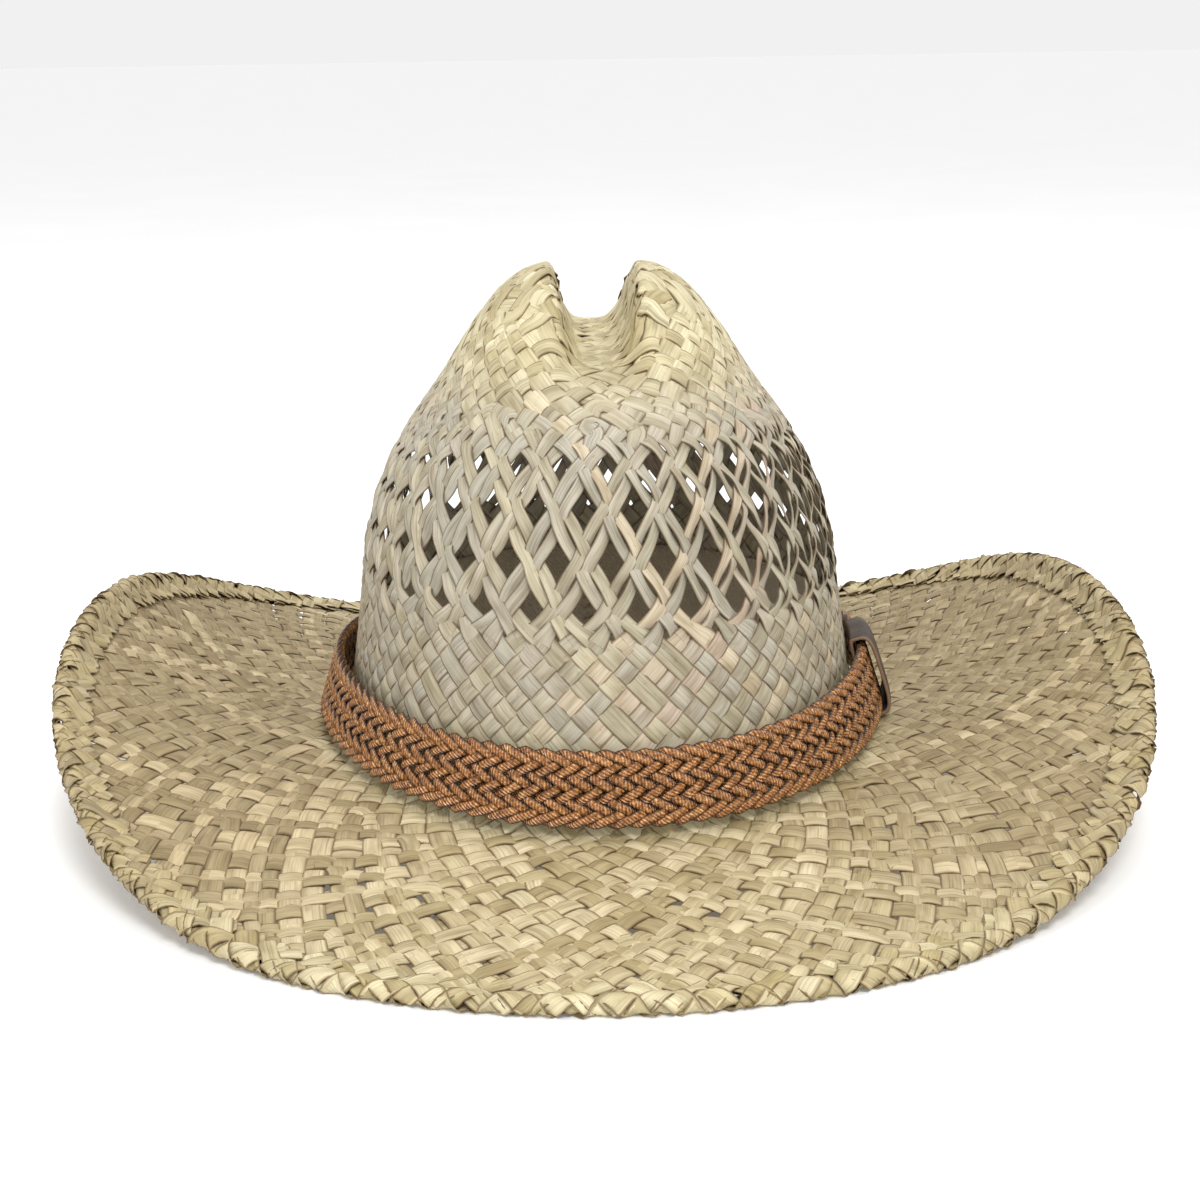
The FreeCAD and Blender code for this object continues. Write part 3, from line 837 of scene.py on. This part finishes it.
def braid_material():
    n = Nodes("braid")
    along, around = n.attribute("along"), n.attribute("around")
    shift = n.times(n.attribute("chance"), 31.0)
    # filaments wind round the cord as they run along it
    wound = n.plus(n.times(along, 0.22), around)
    strand = n.bands(n.vector(wound, shift, 0.0), Scale=1.6, Distortion=0.9, Detail=2.0)
    speck = n.noise(n.vector(n.times(along, 1.3), n.times(around, 9.0), shift), 1.0, 3.0, 0.7)
    broad = n.noise(n.vector(n.times(along, 0.12), shift, 0.0), 1.0, 1.0)
    # the filaments' fleck colour, dark copper to gold; its brightest, near-white gold flecks are
    # painted glints
    colour = n.ramp(speck, [
        (0.28, (0.060, 0.018, 0.005)), (0.40, (0.22, 0.075, 0.018)), (0.52, (0.47, 0.19, 0.052)),
        (0.64, (0.74, 0.41, 0.17)), (0.76, (1.0, 0.78, 0.50))])
    # painted shade: each cord darkens to near black at its sides, in the gaps between cords, and
    # is a little brighter across its middle
    side = n.maths("ABSOLUTE", n.maths("COSINE", n.times(around, FULL_TURN)))
    cord_side_shade = n.ramp(side, [(0.50, 1.1), (0.95, (0.05, 0.025, 0.012))])
    colour = n.tint(0.9, colour, cord_side_shade)
    colour = n.tint(0.7, colour, n.ramp(strand, [(0.1, 0.30), (0.6, 1.15)]))
    colour = n.tint(0.5, colour, n.ramp(broad, [(0.3, 0.7), (0.7, 1.25)]))
    n.bump(n.plus(strand, n.times(speck, 0.35)), 0.8, 0.0005)
    rough = n.ramp(speck, [(0.35, 0.46), (0.7, 0.22)])
    return n.finish(colour, rough, Specular_IOR_Level=0.7)


def leather_material():
    n = Nodes("keeper_leather")
    where = n.object_space()
    grain = n.add("ShaderNodeTexVoronoi", {"Vector": where, "Scale": 1500.0}).outputs["Distance"]
    cloud = n.noise(where, 120.0, 4.0, 0.6)
    colour = n.ramp(cloud, [(0.30, (0.030, 0.018, 0.012)), (0.70, (0.085, 0.055, 0.040))])
    rim = n.ramp(n.attribute("rim"), [(0.2, 0.0), (0.9, 1.0)])
    colour = n.mix(rim, colour, (0.20, 0.125, 0.075))
    n.bump(n.plus(grain, n.times(cloud, 0.5)), 0.30, 0.0003)
    return n.finish(colour, n.ramp(cloud, [(0.3, 0.62), (0.7, 0.48)]),
                    Specular_IOR_Level=0.4)


def thread_material(name, light, dark):
    n = Nodes(name)
    along, around = n.attribute("along"), n.attribute("around")
    wound = n.plus(n.times(along, 1.2), around)
    ply = n.bands(n.vector(wound, 0.0, 0.0), Scale=0.9)
    fuzz = n.noise(n.vector(along, n.times(around, 4.0), 0.0), 2.0, 3.0)
    colour = n.mix(n.times(n.plus(ply, fuzz), 0.5), dark, light)
    n.bump(ply, 0.6, 0.0002)
    return n.finish(colour, 0.7, Sheen_Weight=0.2)


def wire_material():
    n = Nodes("wire_steel")
    dull = n.noise(n.object_space(), 300.0, 3.0)
    colour = n.ramp(dull, [(0.3, 0.30), (0.7, 0.52)])
    return n.finish(colour, n.ramp(dull, [(0.3, 0.45), (0.7, 0.30)]), Metallic=1.0)


# The second pair of colours: grey straw for the crown's wall, and browns of painted shade for the
# brim's curled sides
DULL, PINK = (0.385, 0.365, 0.295), (0.47, 0.385, 0.300)
SIDE_SHADE_DARK, SIDE_SHADE_RUSSET, SIDE_SHADE_PALE = (0.225, 0.165, 0.075), (0.46, 0.36, 0.20), (0.43, 0.35, 0.19)
crown_straw = straw("crown_straw", (0.45, 0.385, 0.21), (0.66, 0.61, 0.41), DULL, PINK)
brim_straw = straw("brim_straw", (0.37, 0.30, 0.155), (0.60, 0.52, 0.335), SIDE_SHADE_DARK, SIDE_SHADE_RUSSET)
hem_straw = straw("hem_straw", (0.40, 0.33, 0.16), (0.66, 0.59, 0.39), SIDE_SHADE_PALE, SIDE_SHADE_DARK)
STRAW_OF = {"brim": brim_straw, "brim_hem": hem_straw}

for (name, node, _), runs in zip(ZONES, zone_runs):
    slot = "straw_crown" if node.startswith("crown") else "straw_brim"
    make_piece(name, runs, "hat", node, STRAW_OF.get(node, crown_straw))


# ---- the braided band ----

BAND_HEIGHT = 20.0
BAND_BOTTOM = (82.3, 103.1)     # half axes of the oval that its lower edge follows
BAND_LEAN = (6.2, 5.4)          # how much smaller the oval of its upper edge is
BAND_CLEARANCE = 3.4            # from the brim's root up to its lower edge
CORDS = 13
PLAIT_TURNS = 8             # times that a cord goes up and down on its way round
CORD_WIDTH, CORD_THICK = 2.56, 1.25
PLAIT_RELIEF = 0.80         # how far a cord swings over and under, mm
CORD_SIDES = 10
CORD_STATIONS = 900


def band_point(angle, height, outwards):
    """A point of the band, and its normal, that many mm up it and out from its middle."""
    share = height / BAND_HEIGHT
    slant = math.atan2(BAND_LEAN[0], BAND_HEIGHT)
    x = (BAND_BOTTOM[0] - BAND_LEAN[0] * share) * np.sin(angle)
    y = -(BAND_BOTTOM[1] - BAND_LEAN[1] * share) * np.cos(angle)
    out = unit(np.stack([np.sin(angle) / BAND_BOTTOM[0], -np.cos(angle) / BAND_BOTTOM[1]], -1))
    base = crown_point(angle, np.ones_like(angle))[..., 2] + BAND_CLEARANCE
    points = np.stack([x, y, base + height], -1)
    upwards = np.full_like(x, math.sin(slant))
    normal = np.concatenate([out * math.cos(slant), upwards[..., None]], -1)
    return points + normal * np.asarray(outwards)[..., None], normal


def tube(points, normals, width, thick, sides, chance, closed):
    """A run of oval section along a path."""
    turn = FULL_TURN * np.arange(sides) / sides
    if closed:
        ahead = np.roll(points, -1, axis=0) - np.roll(points, 1, axis=0)
    else:
        ahead = np.gradient(points, axis=0)
    ahead = unit(ahead)
    side = unit(np.cross(ahead, normals))
    up = np.cross(side, ahead)
    across = np.cos(turn)[None, :] * np.reshape(width, (-1, 1)) / 2
    high = np.sin(turn)[None, :] * np.reshape(thick, (-1, 1)) / 2
    shape = points[:, None, :] + side[:, None, :] * across[..., None] \
        + up[:, None, :] * high[..., None]
    return shape, {"along": run_length(points)[:, None], "around": turn[None, :] / FULL_TURN,
                   "chance": np.full((1, 1), chance)}, closed


def band_cords():
    """Flat plait: each cord goes up and down the band, over two cords and under two."""
    runs = []
    share = np.arange(CORD_STATIONS) / CORD_STATIONS
    for cord in range(CORDS):
        phase = (share * PLAIT_TURNS + cord / CORDS) % 1.0
        rising = phase < 0.5
        climb = np.where(rising, phase * 2, 2 - phase * 2)
        eased = 0.5 - 0.5 * np.cos(math.pi * climb)
        climb = 0.62 * climb + 0.38 * eased
        height = CORD_WIDTH / 2 + (BAND_HEIGHT - CORD_WIDTH) * climb
        float_wave = np.sin(6 * math.pi * climb)
        level = np.tanh(2.2 * float_wave) / math.tanh(2.2) * np.where(rising, 1.0, -1.0)
        points, normal = band_point(oval(FULL_TURN * share), height, PLAIT_RELIEF * level)
        plump = 1 + 0.04 * np.sin(FULL_TURN * (share * 61 + cord * 0.37))
        runs.append(tube(points, normal, CORD_WIDTH * plump, CORD_THICK * plump, CORD_SIDES,
                         float(RNG.random()), True))
    return runs


braid = braid_material()
cords = band_cords()
make_piece("braid_cords_a", cords[:7], "band", "hat_band", braid, 80)
make_piece("braid_cords_b", cords[7:], "band", "hat_band", braid, 80)


# ---- the keeper ----

KEEPER_ANGLE, KEEPER_HALF_ANGLE = 84.0, 6.2     # degrees from the front of the hat
KEEPER_LEATHER = 1.0
KEEPER_BEHIND, KEEPER_BELOW = 0.85, 0.6         # room between the leather and the band
KEEPER_ABOVE, KEEPER_BULGE, BAND_HALF = 0.8, 1.9, 1.3
KEEPER_STATIONS, KEEPER_AROUND = 27, 96
LIP_STEPS, LIP_REACH = 5, 0.42                  # the rounded edges of the leather


def keeper_skin(leather):
    """The loop's inside, or its outside where leather is its thickness."""
    turn = FULL_TURN * np.arange(KEEPER_AROUND) / KEEPER_AROUND
    half_angle = np.radians(KEEPER_HALF_ANGLE) * np.linspace(-1, 1, KEEPER_STATIONS)
    low = -KEEPER_BELOW - leather
    high = BAND_HEIGHT + KEEPER_ABOVE + leather
    s, co = np.sin(turn), np.cos(turn)
    height = (low + high) / 2 + (high - low) / 2 * np.sign(s) * np.abs(s) ** 0.42
    bulge = (BAND_HALF + KEEPER_BULGE + leather) * np.abs(co) ** 0.7
    behind = -(BAND_HALF + KEEPER_BEHIND + leather) * np.abs(co) ** 0.25
    off = np.where(co > 0, bulge, behind)
    a, h = np.meshgrid(np.radians(KEEPER_ANGLE) + half_angle, height, indexing="ij")
    return band_point(a, h, np.broadcast_to(off, h.shape))[0]


def lip(outer, inner, ahead):
    """Rings that turn the edge of the leather over, from its outside to its inside."""
    middle = (outer + inner) / 2
    bends = math.pi * np.arange(1, LIP_STEPS + 1) / (LIP_STEPS + 1)
    return [middle + (outer - middle) * math.cos(bend) + ahead * (LIP_REACH * math.sin(bend))
            for bend in bends]


def keeper():
    outer, inner = keeper_skin(KEEPER_LEATHER), keeper_skin(0.0)
    last = lip(outer[-1], inner[-1], unit(outer[-1] - outer[-2]))
    first = lip(outer[0], inner[0], unit(outer[0] - outer[1]))
    rows = np.concatenate([outer, last, inner[::-1], first[::-1]])
    rim = np.zeros(len(rows))
    rim[KEEPER_STATIONS:KEEPER_STATIONS + LIP_STEPS] = 1.0
    rim[2 * KEEPER_STATIONS + LIP_STEPS:] = 1.0
    return [(rows, {"rim": rim[:, None]}, True)]


make_piece("keeper_loop", keeper(), "keeper", "band_keeper", leather_material(), 60)


# ---- the sweatband and the sewing ----

SWEATBAND_TOP, SWEATBAND_FOOT = 0.800, 0.985    # places on the hat, m
SWEATBAND_AROUND = 480


def offset_point(angle, m, off):
    return hat_point(angle, m) + hat_normal(angle, m) * np.asarray(off)[..., None]


def sweatband():
    """The cloth strap: its outline, (m, mm in from the straw), carried round the head."""
    outline = [(SWEATBAND_FOOT, 0.95), (SWEATBAND_FOOT - 0.004, 0.78)]
    back = np.linspace(SWEATBAND_FOOT - 0.02, SWEATBAND_TOP + 0.02, 8)
    outline += [(m, 0.83) for m in back]
    outline += [(SWEATBAND_TOP + 0.003, 0.80), (SWEATBAND_TOP - 0.002, 1.20),
                (SWEATBAND_TOP + 0.001, 1.75), (SWEATBAND_TOP + 0.012, 2.12),
                (SWEATBAND_TOP + 0.030, 2.02)]
    outline += [(m, 2.0) for m in np.linspace(SWEATBAND_TOP + 0.05, SWEATBAND_FOOT - 0.05, 9)]
    outline += [(SWEATBAND_FOOT - 0.030, 1.84), (SWEATBAND_FOOT - 0.012, 2.06),
                (SWEATBAND_FOOT - 0.002, 1.7)]
    outline = np.array(outline)
    sigma = FULL_TURN * np.arange(SWEATBAND_AROUND) / SWEATBAND_AROUND
    a, m = np.meshgrid(oval(sigma), outline[:, 0], indexing="ij")
    off = np.broadcast_to(outline[:, 1], a.shape)
    pucker = 0.07 * np.sin(a * 48) * (np.abs(m - 0.955) < 0.02)
    points = offset_point(a, m, -(off - pucker))
    across = run_length(outline * [WALL_REACH, 1.0])
    return [(points, {"along": sigma[:, None] * 90.0, "across": across[None, :]}, True)]


STITCH_ALONG = np.linspace(-1, 1, 9)
STITCH_SIDES = 8


def stitch(angle, place, depth, radius):
    points = offset_point(angle, place, depth)
    return tube(points, hat_normal(angle, place), 2 * radius, 2 * radius, STITCH_SIDES,
                float(RNG.random()), False)


def stitches(count, m, off, share, radius, dip):
    """Separate stitches round the hat; their ends go down into the cloth."""
    runs = []
    for k in range(count):
        centre = FULL_TURN * k / count
        slip = RNG.normal(0, 0.06)
        angle = oval(centre + (STITCH_ALONG * share + slip) * math.pi / count)
        place = np.full(len(STITCH_ALONG), m) + RNG.normal(0, 0.0008)
        depth = off - np.sign(off) * dip * np.abs(STITCH_ALONG) ** 3
        runs.append(stitch(angle, place, depth, radius))
    return runs


def join_stitches(count, length, radius):
    """The row of stitches across the sweatband's join, at the back."""
    runs = []
    for k in range(count):
        angle = math.pi + STITCH_ALONG * length / BREAK_X
        place = np.full(len(STITCH_ALONG), 0.815 + 0.02 * k) + 0.004 * STITCH_ALONG
        depth = -(2.45 - 0.5 * np.abs(STITCH_ALONG) ** 3)
        runs.append(stitch(angle, place, depth, radius))
    return runs


cloth = fabric("sweatband_cloth", (0.66, 0.57, 0.43), (0.40, 0.32, 0.21))
seam_thread = thread_material("seam_thread", (0.62, 0.50, 0.34), (0.30, 0.22, 0.13))
hem_thread = thread_material("hem_thread", (0.50, 0.40, 0.26), (0.20, 0.14, 0.08))
make_piece("sweatband_cloth", sweatband(), "hat", "sweatband", cloth, 60)
make_piece("sweatband_seam",
           stitches(count=96, m=0.955, off=-2.35, share=0.5, radius=0.3, dip=0.5),
           "hat", "sweatband_stitches", seam_thread, 80)
make_piece("sweatband_join", join_stitches(count=7, length=2.2, radius=0.3),
           "hat", "sweatband_join_stitches", seam_thread, 80)
make_piece("hem_seam",
           stitches(count=120, m=1.898, off=0.95, share=0.55, radius=0.28, dip=0.45),
           "hat", "hem_stitches", hem_thread, 80)

# The brim wire stays as the CAD model has it
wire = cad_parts["brim_wire"]
steel = wire_material()
if wire.material_slots:
    for slot in wire.material_slots:
        slot.material = steel
else:
    wire.data.materials.append(steel)


# ---- floor, light and camera ----

def floor_material():
    n = Nodes("floor")
    colour = n.ramp(n.noise(n.object_space(), 6.0, 3.0), [(0.3, 0.90), (0.7, 0.93)])
    return n.finish(colour, 0.9, Specular_IOR_Level=0.1, Emission_Color=(1, 1, 1, 1),
                    Emission_Strength=0.10)


FLOOR_REACH = 40.0


def floor():
    mesh = bpy.data.meshes.new("floor")
    corners = ((-1, -1), (1, -1), (1, 1), (-1, 1))
    mesh.from_pydata([(x * FLOOR_REACH, y * FLOOR_REACH, 0) for x, y in corners],
                     [], [(0, 1, 2, 3)])
    mesh.materials.append(floor_material())
    add_to_scene("floor", mesh)


def stand(thing, right, up, back, place):
    """Puts a lamp or a camera at a place; it looks against its back axis."""
    thing.matrix_world = Matrix([
        (right[k], up[k], back[k], place[k]) for k in range(3)] + [(0, 0, 0, 1)])


LIGHT_TARGET = (0, 0, 0.06)
WORLD_STRENGTH = 0.88


def area_light(name, place, size, power):
    light = bpy.data.lights.new(name, "AREA")
    light.shape = "DISK"
    light.size = size
    light.energy = power
    back = unit(np.array(place) - np.array(LIGHT_TARGET))
    side = unit(np.cross([0.0, 0.0, 1.0], back))
    stand(add_to_scene(name, light), side, np.cross(back, side), back, place)


def studio():
    floor()
    area_light("key", place=(0.12, -1.35, 1.5), size=0.6, power=20)
    area_light("fill", place=(-1.3, -0.9, 0.9), size=1.4, power=2.5)
    area_light("top", place=(0.1, 0.3, 1.9), size=1.2, power=7)
    world = bpy.data.worlds.new("studio")
    world.use_nodes = True
    background = world.node_tree.nodes["Background"]
    background.inputs["Color"].default_value = (1, 1, 1, 1)
    background.inputs["Strength"].default_value = WORLD_STRENGTH
    bpy.context.scene.world = world


# The photograph's camera: metres behind the front and above the floor, and degrees
CAMERA_BACK, CAMERA_HIGH = 0.6492, 0.2104
CAMERA_YAW, CAMERA_PITCH, CAMERA_ROLL, CAMERA_AIM = 2.01, 13.78, 0.91, 0.02
LENS = 67.7
CLIP_END = 50


def camera():
    yaw, pitch, roll = np.radians([-CAMERA_YAW, CAMERA_PITCH, CAMERA_ROLL])
    place = np.array([CAMERA_BACK * math.sin(yaw), -CAMERA_BACK * math.cos(yaw), CAMERA_HIGH])
    heading = math.radians(CAMERA_YAW + CAMERA_AIM)
    ahead = np.array([math.sin(heading) * math.cos(pitch), math.cos(heading) * math.cos(pitch),
                      -math.sin(pitch)])
    right = unit(np.cross(ahead, [0.0, 0.0, 1.0]))
    up = np.cross(right, ahead)
    right, up = (right * math.cos(roll) - up * math.sin(roll),
                 up * math.cos(roll) + right * math.sin(roll))
    data = bpy.data.cameras.new("camera")
    data.lens = LENS
    data.clip_end = CLIP_END
    seat = add_to_scene("camera", data)
    stand(seat, right, up, -ahead, place)
    bpy.context.scene.camera = seat


studio()
camera()
bpy.context.scene.view_settings.view_transform = "Standard"
